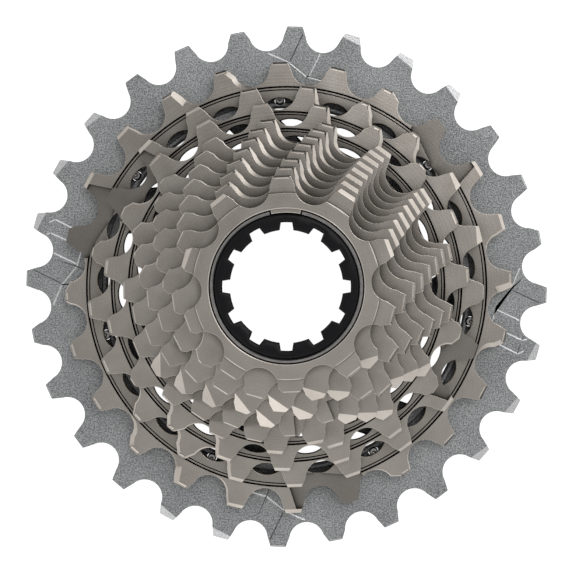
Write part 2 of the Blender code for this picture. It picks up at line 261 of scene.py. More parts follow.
def tooth_ring(teeth, first, styles):
    """Sprocket outline with the front chamfer's width and bend at each point."""
    step = 360 / teeth
    points = []
    widths = []
    bends = []

    def add_corner(corner_points, edges, corner_bends):
        for part, point in enumerate(corner_points):
            points.append(point)
            widths.append(blend(*edges, part / CORNER_STEPS))
            bends.append(blend(*corner_bends, part / CORNER_STEPS))

    for number, letter in enumerate(styles):
        tooth = TOOTH_STYLES[letter]
        following = TOOTH_STYLES[styles[(number + 1) % teeth]]
        middle = first + number * step
        tip = tip_radius(teeth) - tooth.drop
        left = polar(tip, middle - math.degrees(tooth.left / tip))
        right = polar(tip, middle + math.degrees(tooth.right / tip))
        seat_before = seat_point(teeth, middle - step / 2, SEAT_LIMIT)
        seat_after = seat_point(teeth, middle + step / 2, -SEAT_LIMIT)
        width = (right - left).length
        size = min(CORNER, CORNER_SHARE * width)
        tip_edge = min(SMALL_TIP_EDGE if letter in SMALL_TIPS else TIP_EDGE, TIP_EDGE_SHARE * width)
        add_corner(rounded(seat_before, left, right, size), (tooth.left_edge, tip_edge), (STRAIGHT, BROW))
        add_corner(rounded(left, right, seat_after, size), (tip_edge, tooth.right_edge), (BROW, STRAIGHT))
        for part in range(SEAT_STEPS + 1):
            turn = SEAT_LIMIT * (2 * part / SEAT_STEPS - 1)
            points.append(seat_point(teeth, middle + step / 2, turn))
            widths.append(flank_width(tooth.right_edge if turn < 0 else following.left_edge, turn))
            bends.append(STRAIGHT)
    return points, widths, bends


def even(points, width):
    """Contour whose chamfer is straight and equally wide all round."""
    return points, [width] * len(points), [STRAIGHT] * len(points)


def circle(radius, segments=SEGMENTS, centre=Vector((0, 0)), width=EDGE):
    points = [centre + polar(radius, 360 * part / segments) for part in range(segments)]
    return even(points, width)


def lens(orbit, clockwise, half_length, half_width, steps=10, width=0.12):
    """Pointed oval hole, its long side along the circle round the axis."""
    outward = polar(1, clockwise)
    along = polar(1, clockwise + 90)
    points = []
    for side in (1, -1):
        for step in range(steps):
            position = side * (1 - 2 * step / steps)
            bulge = side * (1 - abs(position) ** LENS_POWER)
            sagitta = orbit - math.sqrt(orbit ** 2 - (half_length * position) ** 2)
            place = outward * (orbit - sagitta + half_width * bulge)
            points.append(place + along * half_length * position)
    return even(points, width)


# Meshes

def link_mesh(name, bm):
    bmesh.ops.recalc_face_normals(bm, faces=bm.faces)
    mesh = bpy.data.meshes.new(name)
    bm.to_mesh(mesh)
    bm.free()
    obj = bpy.data.objects.new(name, mesh)
    bpy.context.scene.collection.objects.link(obj)
    return obj


def inset(points, widths, hole):
    """The outline moved into the material by each point's own width."""
    count = len(points)
    area = sum(points[i - 1].cross(points[i]) for i in range(count))
    side = 1 if (area > 0) != hole else -1
    moved = []
    for i, point in enumerate(points):
        arriving = (point - points[i - 1]).normalized()
        leaving = (points[(i + 1) % count] - point).normalized()
        normal = Vector((-arriving.y - leaving.y, arriving.x + leaving.x)).normalized()
        squareness = max(SHARPEST_MITRE, normal.dot(Vector((-arriving.y, arriving.x))))
        moved.append(point + normal * (side * widths[i] / squareness))
    return moved


def plate(name, contours, back, front, back_edge=EDGE):
    """Plate between two heights with chamfered edges. The first contour is its outer
    edge and the others are holes."""
    bm = bmesh.new()
    top_edges = []
    bottom_edges = []
    for number, (points, widths, bends) in enumerate(contours):
        hole = number > 0
        count = len(points)
        outer_widths = [width * (1 - BEND_AT) for width in widths]
        falls = [width * CHAMFER_HEIGHT for width in widths]
        levels = (
            (inset(points, [back_edge] * count, hole), [back] * count),
            (points, [back + back_edge] * count),
            (points, [front - fall for fall in falls]),
            (inset(points, outer_widths, hole), [front - fall * bend for fall, bend in zip(falls, bends)]),
            (inset(points, widths, hole), [front] * count),
        )
        rings = [
            [bm.verts.new((p.x * MM, p.y * MM, z * MM)) for p, z in zip(ring, heights)]
            for ring, heights in levels
        ]
        for lower, upper in zip(rings, rings[1:]):
            for i in range(count):
                bm.faces.new((lower[i - 1], lower[i], upper[i], upper[i - 1]))
        for edges, ring in ((bottom_edges, rings[0]), (top_edges, rings[-1])):
            edges += [bm.edges.get((ring[i - 1], ring[i])) for i in range(count)]
    for edges in (bottom_edges, top_edges):
        bmesh.ops.triangle_fill(bm, use_beauty=True, use_dissolve=False, edges=edges)
    return link_mesh(name, bm)


def lathe_into(bm, profile, segments=SEGMENTS, start=0.0, end=360.0):
    """Adds a closed (radius, height) profile turned round the axis. Less than a full turn
    gets flat ends."""
    full = end - start >= 360
    count = segments if full else segments + 1
    rings = []
    for part in range(count):
        angle = start + (end - start) * part / segments
        rings.append([
            bm.verts.new((*(polar(radius, angle) * MM), z * MM)) for radius, z in profile
        ])
    pairs = list(zip(rings, rings[1:]))
    if full:
        pairs.append((rings[-1], rings[0]))
    for near, far in pairs:
        for i in range(len(profile)):
            bm.faces.new((near[i - 1], near[i], far[i], far[i - 1]))
    if not full:
        bm.faces.new(rings[0])
        bm.faces.new(rings[-1])


def lathe(name, profile, segments=SEGMENTS, start=0.0, end=360.0):
    bm = bmesh.new()
    lathe_into(bm, profile, segments, start, end)
    return link_mesh(name, bm)


def boolean(target, helper, operation):
    """Boolean with the helper, applied, after which the helper is gone."""
    modifier = target.modifiers.new("shape", "BOOLEAN")
    modifier.operation = operation
    modifier.solver = "MANIFOLD"
    modifier.object = helper
    graph = bpy.context.evaluated_depsgraph_get()
    mesh = bpy.data.meshes.new_from_object(target.evaluated_get(graph))
    target.modifiers.clear()
    before = target.data
    target.data = mesh
    bpy.data.meshes.remove(before)
    helper_mesh = helper.data
    bpy.data.objects.remove(helper)
    bpy.data.meshes.remove(helper_mesh)


def add_block(bm, lower, upper):
    """Adds a closed block between two rings of the same number of 3D points."""
    low = [bm.verts.new(Vector(point) * MM) for point in lower]
    high = [bm.verts.new(Vector(point) * MM) for point in upper]
    bm.faces.new(low)
    bm.faces.new(high)
    for i in range(len(low)):
        bm.faces.new((low[i - 1], low[i], high[i], high[i - 1]))


def add_prism(bm, plan, low, high):
    """Adds a closed upright block on a plan between two heights."""
    add_block(bm, [(p.x, p.y, low) for p in plan], [(p.x, p.y, high) for p in plan])


def add_cut(bm, teeth, middle, cut, front):
    """Adds the block that removes what lies above a sloping face beyond a line."""
    (start_side, start_out), (end_side, end_out), slope, step = cut
    origin = polar(tip_radius(teeth), middle)
    sideways = polar(1, middle + 90)
    outwards = polar(1, middle)
    start = origin + sideways * start_side + outwards * start_out
    end = origin + sideways * end_side + outwards * end_out
    along = (end - start).normalized()
    beyond = Vector((-along.y, along.x))
    fall = math.tan(math.radians(slope))
    margin = 0.0 if step else CUT_MARGIN
    near_z = front - step + margin * fall
    far_z = front - step - CUT_REACH * fall
    plan = (
        (start - beyond * margin, near_z),
        (end - beyond * margin, near_z),
        (end + beyond * CUT_REACH, far_z),
        (start + beyond * CUT_REACH, far_z),
    )
    add_block(
        bm,
        [(point.x, point.y, z) for point, z in plan],
        [(point.x, point.y, front + CLEARANCE) for point, _ in plan],
    )


def add_pocket(bm, teeth, middle, front):
    """Adds the cutter of one flat-bottomed shift pocket."""
    root = root_radius(teeth)
    plan = [polar(root + rise, middle + share * 360 / teeth) for share, rise in POCKET]
    add_prism(bm, plan, front - POCKET_DEPTH, front + CLEARANCE)


def add_groove(bm, radius, width, depth, front):
    """Adds the V-shaped ring that cuts a turned line into a front face."""
    lift = 0.2
    half = width / 2 / depth * (depth + lift)
    profile = ((radius - half, front + lift), (radius, front - depth), (radius + half, front + lift))
    lathe_into(bm, profile, GROOVE_SEGMENTS)


def cut_with(target, bm):
    boolean(target, link_mesh("cutter", bm), "DIFFERENCE")


def cut_teeth(target, teeth, first, styles, front):
    """Works the facets and steps into the teeth."""
    bm = bmesh.new()
    for number, letter in enumerate(styles):
        cut = TOOTH_STYLES[letter].cut
        if cut:
            add_cut(bm, teeth, first + number * 360 / teeth, cut, front)
    cut_with(target, bm)


# Materials

# Sockets of a Mix node for colours
MIX_FACTOR = 0
MIX_FIRST = 6
MIX_SECOND = 7
MIX_RESULT = 2
# How far the rounded and the true normal agree on an edge and on a flat
EDGE_AGREEMENT = (0.80, 0.995)
# Side that the leaning painted shade looks towards, clockwise and close to the fill light's, and
# how far it leans over
PAINTED_SHADE_FROM = 205
PAINTED_SHADE_LEAN = 1.7
# Painted shade of the steel, in corners and on one side of each step: reach, strength, how open a
# place is where the shade is full and where it is gone, colour, and whether it leans
PAINTED_SHADES = (
    (2.4, 0.9, 0.45, 0.95, (0.15, 0.14, 0.135), False),
    (4.5, 1.0, 0.15, 0.75, (0.28, 0.27, 0.26), True),
)


def new_material(name, colour, metallic, roughness):
    material = bpy.data.materials.new(name)
    material.use_nodes = True
    tree = material.node_tree
    shader = tree.nodes["Principled BSDF"]
    shader.inputs["Base Color"].default_value = (*colour, 1)
    shader.inputs["Metallic"].default_value = metallic
    shader.inputs["Roughness"].default_value = roughness
    return material, tree, shader


def node(tree, kind, **values):
    """Adds a node; a value that names an input sets it, and any other sets a property."""
    made = tree.nodes.new(kind)
    for key, value in values.items():
        socket = key.replace("_", " ")
        if socket in made.inputs:
            made.inputs[socket].default_value = value
        else:
            setattr(made, key, value)
    return made


def position_mm(tree):
    place = node(tree, "ShaderNodeTexCoord")
    scaled = node(tree, "ShaderNodeVectorMath", operation="SCALE")
    scaled.inputs["Scale"].default_value = 1000
    tree.links.new(place.outputs["Object"], scaled.inputs[0])
    return scaled.outputs[0]


def ring_noise(tree, place, scale, detail=3.0):
    """Noise that depends only on the distance from the axis, as turning marks do."""
    flat = node(tree, "ShaderNodeVectorMath", operation="MULTIPLY")
    flat.inputs[1].default_value = (1, 1, 0)
    tree.links.new(place, flat.inputs[0])
    distance = node(tree, "ShaderNodeVectorMath", operation="LENGTH")
    tree.links.new(flat.outputs[0], distance.inputs[0])
    made = node(tree, "ShaderNodeTexNoise", noise_dimensions="1D", Scale=scale, Detail=detail)
    tree.links.new(distance.outputs["Value"], made.inputs["W"])
    return made.outputs[0]


def noise(tree, place, scale, detail=3.0, roughness=0.5):
    made = node(tree, "ShaderNodeTexNoise", Scale=scale, Detail=detail, Roughness=roughness)
    tree.links.new(place, made.inputs["Vector"])
    return made.outputs[0]


def ramp(tree, source, low, high, low_at=0.3, high_at=0.7):
    """Maps a value between two numbers."""
    made = node(tree, "ShaderNodeMapRange")
    for socket, value in zip((1, 2, 3, 4), (low_at, high_at, low, high)):
        made.inputs[socket].default_value = value
    tree.links.new(source, made.inputs[0])
    return made.outputs[0]


def maths(tree, operation, first, second):
    """A Math node of two inputs, each a number or another node's output."""
    made = node(tree, "ShaderNodeMath", operation=operation)
    for socket, value in ((0, first), (1, second)):
        if isinstance(value, (int, float)):
            made.inputs[socket].default_value = value
        else:
            tree.links.new(value, made.inputs[socket])
    return made.outputs[0]


def mixed(tree, first, second, factor, blend_type="MIX"):
    """A mix of two colours, each a value or another node's output."""
    mix = node(tree, "ShaderNodeMix", data_type="RGBA", blend_type=blend_type)
    for socket, colour in ((MIX_FIRST, first), (MIX_SECOND, second)):
        if isinstance(colour, tuple):
            mix.inputs[socket].default_value = (*colour, 1)
        else:
            tree.links.new(colour, mix.inputs[socket])
    tree.links.new(factor, mix.inputs[MIX_FACTOR])
    return mix.outputs[MIX_RESULT]


def bumped(tree, shader, height, strength, distance, normal=None):
    """Bumps the shader's surface, on top of rounded edges where a normal brings them."""
    bump = node(tree, "ShaderNodeBump", Strength=strength, Distance=distance * MM)
    tree.links.new(height, bump.inputs["Height"])
    if normal:
        tree.links.new(normal, bump.inputs["Normal"])
    tree.links.new(bump.outputs[0], shader.inputs["Normal"])


def edge_mask(tree, radius):
    """Normal rounded off over a radius along edges, and a mask: 1 along edges, 0 on flats."""
    bevel = node(tree, "ShaderNodeBevel", samples=4)
    bevel.inputs["Radius"].default_value = radius * MM
    geometry = node(tree, "ShaderNodeNewGeometry")
    agree = node(tree, "ShaderNodeVectorMath", operation="DOT_PRODUCT")
    tree.links.new(bevel.outputs[0], agree.inputs[0])
    tree.links.new(geometry.outputs["Normal"], agree.inputs[1])
    return bevel.outputs[0], ramp(tree, agree.outputs["Value"], 1.0, 0.0, *EDGE_AGREEMENT)


def painted_shade(tree, colour):
    """Painted shade: the colour darkened in corners, and more on the side of each step that faces away
    from the fill light, as a soft cast shadow would fall."""
    surface = node(tree, "ShaderNodeNewGeometry")
    leaning = node(tree, "ShaderNodeVectorMath", operation="ADD")
    lean = polar(PAINTED_SHADE_LEAN, PAINTED_SHADE_FROM)
    leaning.inputs[1].default_value = (lean.x, lean.y, 0)
    tree.links.new(surface.outputs["Normal"], leaning.inputs[0])
    unit = node(tree, "ShaderNodeVectorMath", operation="NORMALIZE")
    tree.links.new(leaning.outputs[0], unit.inputs[0])
    for reach, strength, full_at, gone_at, tint, leans in PAINTED_SHADES:
        openness = node(tree, "ShaderNodeAmbientOcclusion", samples=6)
        openness.inputs["Distance"].default_value = reach * MM
        if leans:
            tree.links.new(unit.outputs[0], openness.inputs["Normal"])
        factor = ramp(tree, openness.outputs["AO"], strength, 0.0, full_at, gone_at)
        colour = mixed(tree, colour, tint, factor, "MULTIPLY")
    return colour


def nickel_steel():
    material, tree, shader = new_material("nickel_steel", (0.6, 0.55, 0.5), 1.0, 0.36)
    place = position_mm(tree)
    rings = ring_noise(tree, place, scale=5.0)
    patches = noise(tree, place, scale=0.16, detail=4.0)
    grain = noise(tree, place, scale=5.5, detail=2.0, roughness=0.6)
    normal, edges = edge_mask(tree, 0.09)

    cloudy = ramp(tree, patches, 0.0, 0.6)
    tone = maths(tree, "ADD", cloudy, ramp(tree, grain, 0.0, 0.2))
    worn = maths(tree, "ADD", tone, maths(tree, "MULTIPLY", edges, 0.2))
    undarkened = mixed(tree, (0.50, 0.455, 0.405), (0.66, 0.615, 0.565), worn)
    # Painted shade in turned grooves and on milled floors, and a darker tone on the webs, pull the colour
    # towards this dark one
    darkening = node(tree, "ShaderNodeAttribute", attribute_name="darkening")
    undarkened_share = ramp(tree, darkening.outputs["Fac"], 1.0, 0.0, 0.0, 1.0)
    colour = mixed(tree, (0.10, 0.092, 0.082), undarkened, undarkened_share)
    # Painted shade darkens the steel's colour in corners and beside each step
    tree.links.new(painted_shade(tree, colour), shader.inputs["Base Color"])

    marks = ramp(tree, rings, 0.21, 0.27)
    dull = maths(tree, "ADD", marks, ramp(tree, grain, -0.01, 0.02))
    tree.links.new(dull, shader.inputs["Roughness"])
    turned = maths(tree, "MULTIPLY", rings, 0.3)
    height = maths(tree, "ADD", turned, grain)
    bumped(tree, shader, height, 0.03, 0.02, normal)
    return material


def blasted_aluminium():
    material, tree, shader = new_material("blasted_aluminium", (0.62, 0.63, 0.64), 1.0, 0.42)
    place = position_mm(tree)
    grain = noise(tree, place, scale=3.2, detail=3.0, roughness=0.7)
    fine = noise(tree, place, scale=9.0, detail=2.0, roughness=0.6)
    patches = noise(tree, place, scale=0.07, detail=3.0)
    normal, edges = edge_mask(tree, 0.09)

    speckle = ramp(tree, grain, 0.0, 0.8, low_at=0.38, high_at=0.62)
    tone = maths(tree, "ADD", ramp(tree, patches, 0.0, 0.2), speckle)
    worn = maths(tree, "ADD", tone, edges)
    blasted = mixed(tree, (0.12, 0.123, 0.126), (0.51, 0.52, 0.525), worn)
    bright = node(tree, "ShaderNodeAttribute", attribute_name="machined").outputs["Fac"]
    colour = mixed(tree, blasted, (0.72, 0.72, 0.73), bright)
    tree.links.new(colour, shader.inputs["Base Color"])

    dull = ramp(tree, fine, 0.40, 0.56)
    polish = maths(tree, "MULTIPLY", bright, -0.2)
    tree.links.new(maths(tree, "ADD", dull, polish), shader.inputs["Roughness"])
    pits = maths(tree, "MULTIPLY", fine, 0.5)
    height = maths(tree, "ADD", grain, pits)
    bumped(tree, shader, height, 0.9, 0.12, normal)
    return material


def black_anodised():
    material, tree, shader = new_material("black_anodised", (0.007, 0.007, 0.008), 0.0, 0.42)
    place = position_mm(tree)
    rings = ring_noise(tree, place, scale=7.0)
    grain = noise(tree, place, scale=6.0)
    normal, edges = edge_mask(tree, 0.1)

    worn = maths(tree, "MULTIPLY", edges, 0.5)
    tone = maths(tree, "ADD", ramp(tree, grain, 0.0, 0.3), worn)
    colour = mixed(tree, (0.004, 0.004, 0.005), (0.02, 0.02, 0.022), tone)
    tree.links.new(colour, shader.inputs["Base Color"])
    shader.inputs["Specular IOR Level"].default_value = 0.15
    tree.links.new(ramp(tree, rings, 0.30, 0.42), shader.inputs["Roughness"])
    bumped(tree, shader, rings, 0.1, 0.02, normal)
    return material


def turned_metal(name, dark, light, roughness):
    material, tree, shader = new_material(name, light, 1.0, roughness)
    place = position_mm(tree)
    rings = ring_noise(tree, place, scale=9.0)
    stains = noise(tree, place, scale=0.8)
    colour = mixed(tree, dark, light, ramp(tree, stains, 0.0, 1.0))
    tree.links.new(colour, shader.inputs["Base Color"])
    dull = ramp(tree, rings, roughness - 0.05, roughness + 0.08)
    tree.links.new(dull, shader.inputs["Roughness"])
    bumped(tree, shader, rings, 0.12, 0.02)
    return material


# Pieces

# How far a face has to turn to the front to count as facing it, and as level
FACING = 0.9
LEVEL = 0.999
# How dark the steel is painted: painted shade in its turned grooves and on floors milled this far
# below the front face, and a darker tone on the webs
GROOVE_PAINTED_SHADE = 1.0
FLOOR_BELOW = 0.12
FLOOR_PAINTED_SHADE = 0.48
WEB_DARKENING = 0.25
# Machined faces of the largest sprocket: how far they turn to the front, and the least
# height and radius that they are found at
MACHINED_FACING = (0.9, 0.97)
MACHINED_ABOVE = 0.2
MACHINED_BEYOND = 45
# Style of the teeth that a shift pocket starts from
POCKETED = "R"
# Key in the snap ring's gap: radii, clockwise angles, and reach below and above the face
KEY_INNER = 14.5
KEY_OUTER = 16.2
KEY_START = -11.8
KEY_SPAN = 22.6
KEY_DEPTH = 0.95
KEY_RISE = 0.1
# Snap ring: radii, and the clockwise angles of its two ends
RING_INNER = 14.4
RING_OUTER = 15.22
RING_START = 12.0
RING_END = 347.0
# Lock tube, how deep in the nose its sleeve starts, and the notches for its tool
TUBE_RADIUS = 14.15
TUBE_LENGTH = 16.5
TUBE_BORE = 12.95
SLEEVE_DEPTH = 2.5
NOTCHES = 12
NOTCH_DEPTH = 5
TOOL_MINOR = 11.3
TOOL_MAJOR = 12.85
# Its flange's radius and height, and the gap between it and the thrust washer
FLANGE = 14.95
FLANGE_HEIGHT = 0.9
FLANGE_GAP = 0.3
# Its thread, inner and outer radius, starting at a relief behind the notches
THREAD = (13.3, 13.5)
THREAD_TURNS = 9
THREAD_PITCH = 1.0
RELIEF_DEPTH = 6
# Dome pins: place beside the arms, radius, the holes they sit in and how far up those
# are cut, ends, and the dimple in the head
PIN_ORBIT = 41.6
PIN_TURN = 8.7
PIN_RADIUS = 1.0
PIN_HOLE = 1.15
PIN_HOLE_TOP = 4.0
PIN_SEGMENTS = 24
PIN_BOTTOM = 0.2
PIN_TOP = 3.35
PIN_DIMPLE = 0.35
PIN_DIMPLE_DEPTH = 0.25


def place_piece(obj, node_name, body, material, sharp=16.0):
    """Shades, paints and mounts a finished piece in place of its CAD node."""
    obj.data.shade_smooth()
    obj.data.set_sharp_from_angle(angle=math.radians(sharp))
    obj.data.materials.clear()
    obj.data.materials.append(material)
    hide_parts(node_name)
    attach(obj, body)


def mark_faces(obj, name, amount):
    """Stores an amount for each face, worked out from its centre in mm and its normal."""
    marks = obj.data.attributes.new(name, "FLOAT", "FACE")
    for face, mark in zip(obj.data.polygons, marks.data):
        mark.value = amount(face.center / MM, face.normal)


def steel_darkening(front, lines):
    """How dark a steel face is painted: painted shade in turned grooves most, then on milled floors, then
    a darker tone on the webs.
    """
    def amount(centre, normal):
        radius = centre.xy.length
        if normal.z < FACING and any(abs(radius - line) < width for line, width, _ in lines):
            return GROOVE_PAINTED_SHADE
        if normal.z > LEVEL and centre.z < front - FLOOR_BELOW:
            return FLOOR_PAINTED_SHADE
        if normal.z > FACING and lines and radius < lines[0][0]:
            return WEB_DARKENING
        return 0.0
    return amount


def machined(centre, normal):
    """1 on the bright sloping faces worked into the blasted front, 0 elsewhere."""
    least, most = MACHINED_FACING
    sloping = least < normal.z < most
    return 1.0 if sloping and centre.z > MACHINED_ABOVE and centre.xy.length > MACHINED_BEYOND else 0.0


def wall_outer(teeth):
    return root_radius(teeth) - WALL_BELOW_ROOT


def wall_inner(teeth):
    return max(wall_outer(teeth) - WALL_THICKNESS, TUBE_SEAT + SEAT_LIP)


def bore_radius(index):
    """The smallest sprocket seats the lock tube, the next holds its shoulder, and the
    others are open to the wall of the next smaller one."""
    smaller = STEEL[index + 1:]
    if not smaller:
        return TUBE_SEAT
    if len(smaller) == 1:
        return SHOULDER
    return wall_inner(smaller[0][0])


def web_holes(index):
    """Holes through a web, one between each two teeth of the next sprocket."""
    orbit, half_length, half_width = WEB_HOLES[STEEL[index][0]]
    smaller, first, _ = STEEL[index + 1]
    step = 360 / smaller
    return [
        lens(orbit, first + WEB_HOLE_TURN + (hole + 0.5) * step, half_length, half_width)
        for hole in range(smaller)
    ]


def dome_wall(teeth, back, next_front):
    """Wall behind a steel sprocket, with a fillet under the plate and a small edge at its foot."""
    outer = wall_outer(teeth)
    inner = wall_inner(teeth)
    foot = next_front + WALL_GAP
    buried = back + WALL_BURIED
    edge = 0.1
    fillet = 0.35
    profile = (
        (outer, foot + edge), (outer, back - fillet), (outer + edge, back - edge),
        (outer + fillet, back + JOINED_EDGE), (outer, buried), (inner, buried), (inner, foot),
        (outer - edge, foot),
    )
    return lathe("wall", profile)


def steel_sprocket(index, front, next_front):
    teeth, first, styles = STEEL[index]
    back = front - PLATE
    contours = [tooth_ring(teeth, first, styles), circle(bore_radius(index), width=JOINED_EDGE)]
    if teeth in WEB_HOLES:
        contours += web_holes(index)
    sprocket = plate(f"steel_sprocket_{teeth}t", contours, back, front)
    cut_teeth(sprocket, teeth, first, styles, front)
    lines = WEB_LINES.get(teeth, ())
    if lines:
        bm = bmesh.new()
        for radius, width, depth in lines:
            add_groove(bm, radius, width, depth, front)
        cut_with(sprocket, bm)
    if POCKETED in styles:
        bm = bmesh.new()
        for number, letter in enumerate(styles):
            if letter == POCKETED:
                add_pocket(bm, teeth, first + number * 360 / teeth, front)
        cut_with(sprocket, bm)
    boolean(sprocket, dome_wall(teeth, back, next_front), "UNION")
    # Marks the painted shade of grooves and milled floors, and the darker webs
    mark_faces(sprocket, "darkening", steel_darkening(front, lines))
    return sprocket


def hub_face(front):
    """Raised ring round the bore of the smallest sprocket, cut into by its roller seats."""
    teeth, first, _ = STEEL[-1]
    pitch = pitch_radius(teeth)
    cosine = (pitch ** 2 + SEAT_RADIUS ** 2 - HUB_BOSS ** 2) / (2 * pitch * SEAT_RADIUS)
    limit = math.degrees(math.acos(cosine))
    step = 360 / teeth
    rim_steps = 5
    seat_steps = 12
    points = []
    widths = []
    for tooth in range(teeth):
        middle = first + tooth * step
        ends = [seat_point(teeth, middle + side * step / 2, -side * limit) for side in (-1, 1)]
        start, end = (math.degrees(math.atan2(point.x, point.y)) for point in ends)
        width = (end - start) % 360
        points += arc(HUB_BOSS, start, width, rim_steps)[1:-1]
        turns = [limit * (2 * part / seat_steps - 1) for part in range(seat_steps + 1)]
        points += [seat_point(teeth, middle + step / 2, turn) for turn in turns]
        widths += [HUB_BOSS_EDGE] * (rim_steps - 1) + [EDGE] * len(turns)
    contours = [
        (points, widths, [STRAIGHT] * len(points)),
        circle(TUBE_SEAT, width=HUB_BORE_EDGE),
    ]
    return plate("hub_face", contours, front - HUB_BOSS_DEPTH, front + HUB_BOSS_RISE, JOINED_EDGE)


def ring_key(front):
    """Key in the snap ring's gap that keeps the ring from turning."""
    inner = arc(KEY_INNER, KEY_START, KEY_SPAN, 12)
    outline = arc(KEY_OUTER, KEY_START, KEY_SPAN, 12) + inner[::-1]
    return plate("ring_key", [even(outline, 0.12)], front - KEY_DEPTH, front + KEY_RISE, JOINED_EDGE)


def notched_bore():
    """Bore with the notches of the lock tool."""
    step = 360 / NOTCHES
    foot = 7.0
    land = step - 2 * foot
    points = []
    for notch in range(NOTCHES):
        middle = step * notch
        points.append(polar(TOOL_MINOR, middle - foot))
        points += [polar(TOOL_MAJOR, middle + turn) for turn in (-5.0, -1.7, 1.7, 5.0)]
        points += arc(TOOL_MINOR, middle + foot, land, 4)[:-1]
    return even(points, 0.3)


def lock_tube(front, flange_low, flange_high):
    """Tube with the tool's notches at its front, a flange, and a thread inside its back."""
    back = front - TUBE_LENGTH
    edge = 0.3
    nose = [circle(TUBE_RADIUS, width=edge), notched_bore()]
    tube = plate("lock_tube_body", nose, front - NOTCH_DEPTH, front, JOINED_EDGE)
    relief = front - RELIEF_DEPTH
    minor, major = THREAD
    lead = 0.1
    thread = [(TUBE_BORE, relief), (major - lead, relief - 0.3)]
    for turn in range(THREAD_TURNS):
        z = relief - 1.2 - turn * THREAD_PITCH
        thread += [(major, z), (minor, z - 0.35), (minor, z - 0.5), (major, z - 0.85)]
    sleeve_top = front - SLEEVE_DEPTH
    small = 0.15
    profile = [
        (TUBE_RADIUS, sleeve_top), (TUBE_RADIUS, flange_high), (FLANGE - small, flange_high),
        (FLANGE, flange_high - small), (FLANGE, flange_low + small), (FLANGE - small, flange_low),
        (TUBE_RADIUS, flange_low), (TUBE_RADIUS, back + edge), (TUBE_RADIUS - edge, back),
        (major + lead, back), (major - lead, back + 2 * lead), *reversed(thread),
        (TUBE_BORE, sleeve_top),
    ]
    boolean(tube, lathe("tube_sleeve", profile), "UNION")
    return tube


def ring_section(inner, outer, low, high, edge):
    return (
        (outer - edge, high), (outer, high - edge), (outer, low + edge), (outer - edge, low),
        (inner + edge, low), (inner, low + edge), (inner, high - edge), (inner + edge, high),
    )


def pin(name, place):
    """Pin with chamfered ends and a small turned dimple in its head."""
    bm = bmesh.new()
    edge = 0.2
    outline = (
        (PIN_RADIUS - edge, PIN_BOTTOM), (PIN_RADIUS, PIN_BOTTOM + edge),
        (PIN_RADIUS, PIN_TOP - edge), (PIN_RADIUS - edge, PIN_TOP), (PIN_DIMPLE, PIN_TOP),
    )
    rings = []
    for radius, z in outline:
        ring = circle(radius, PIN_SEGMENTS, place)[0]
        rings.append([bm.verts.new((p.x * MM, p.y * MM, z * MM)) for p in ring])
    deepest = bm.verts.new((place.x * MM, place.y * MM, (PIN_TOP - PIN_DIMPLE_DEPTH) * MM))
    bm.faces.new(rings[0])
    for lower, upper in zip(rings, rings[1:]):
        for i in range(PIN_SEGMENTS):
            bm.faces.new((lower[i - 1], lower[i], upper[i], upper[i - 1]))
    for i in range(PIN_SEGMENTS):
        bm.faces.new((rings[-1][i - 1], rings[-1][i], deepest))
    return link_mesh(name, bm)


# Carrier sprocket

# Arms: how many, where the first is, the turn from an arm to its normal, the distance
# from the axis to its middle line, and half its width
ARMS = 7
FIRST_ARM = 349.2
ARM_NORMAL = 55.7
ARM_OFFSET = 20.58
ARM_HALF = 4.75
# Windows between the arms
WINDOW_OUTER = 40.0
WINDOW_INNER = 27.0
WINDOW_CORNER = 1.6
# Thicker plate that carries the arms, and the collar round the driver
CARRIER_RIM = 41.1
CARRIER_BACK = 0.8
CARRIER_FRONT = 2.8
COLLAR = 20.5
COLLAR_BACK = 1.4
COLLAR_FRONT = 8.0
# Splines for the driver
SPLINES = 18
SPLINE_MINOR = 17.2
SPLINE_MAJOR = 18.2


def window_side(arm_angle, radius):
    """Clockwise angles at which a window starts and ends on a circle round the axis, and
    the angle that a rounded corner takes up there."""
    start = ARM_NORMAL - math.degrees(math.acos((ARM_OFFSET + ARM_HALF) / radius))
    end = ARM_NORMAL + 360 / ARMS - math.degrees(math.acos((ARM_OFFSET - ARM_HALF) / radius))
    return arm_angle + start, arm_angle + end, math.degrees(WINDOW_CORNER / radius)


def window(arm_angle):
    """Opening between a slanted arm and the next one clockwise, with round corners."""
    start, end, margin = window_side(arm_angle, WINDOW_OUTER)
    outer_start = polar(WINDOW_OUTER, start)
    outer_end = polar(WINDOW_OUTER, end)
    outer = arc(WINDOW_OUTER, start + margin, end - start - 2 * margin, 10)
    start, end, margin = window_side(arm_angle, WINDOW_INNER)
    inner_start = polar(WINDOW_INNER, start)
    inner_end = polar(WINDOW_INNER, end)
    inner = arc(WINDOW_INNER, end - margin, start - end + 2 * margin, 8)
    path = rounded(inner_start, outer_start, outer[0], WINDOW_CORNER)[:-1] + outer
    path += rounded(outer[-1], outer_end, inner_end, WINDOW_CORNER)[1:]
    path += rounded(outer_end, inner_end, inner[0], WINDOW_CORNER)[:-1] + inner
    path += rounded(inner[-1], inner_start, outer_start, WINDOW_CORNER)[1:]
    return even(path, 0.3)


def driver_bore():
    """Bore with the splines that sit in the freehub driver's grooves."""
    points = []
    step = 360 / SPLINES
    for spline in range(SPLINES):
        start = spline * step
        points += [polar(SPLINE_MINOR, start + share * step) for share in (0.0, 0.2, 0.4)]
        points += [polar(SPLINE_MAJOR, start + share * step) for share in (0.5, 0.7, 0.9)]
    return even(points, 0.12)


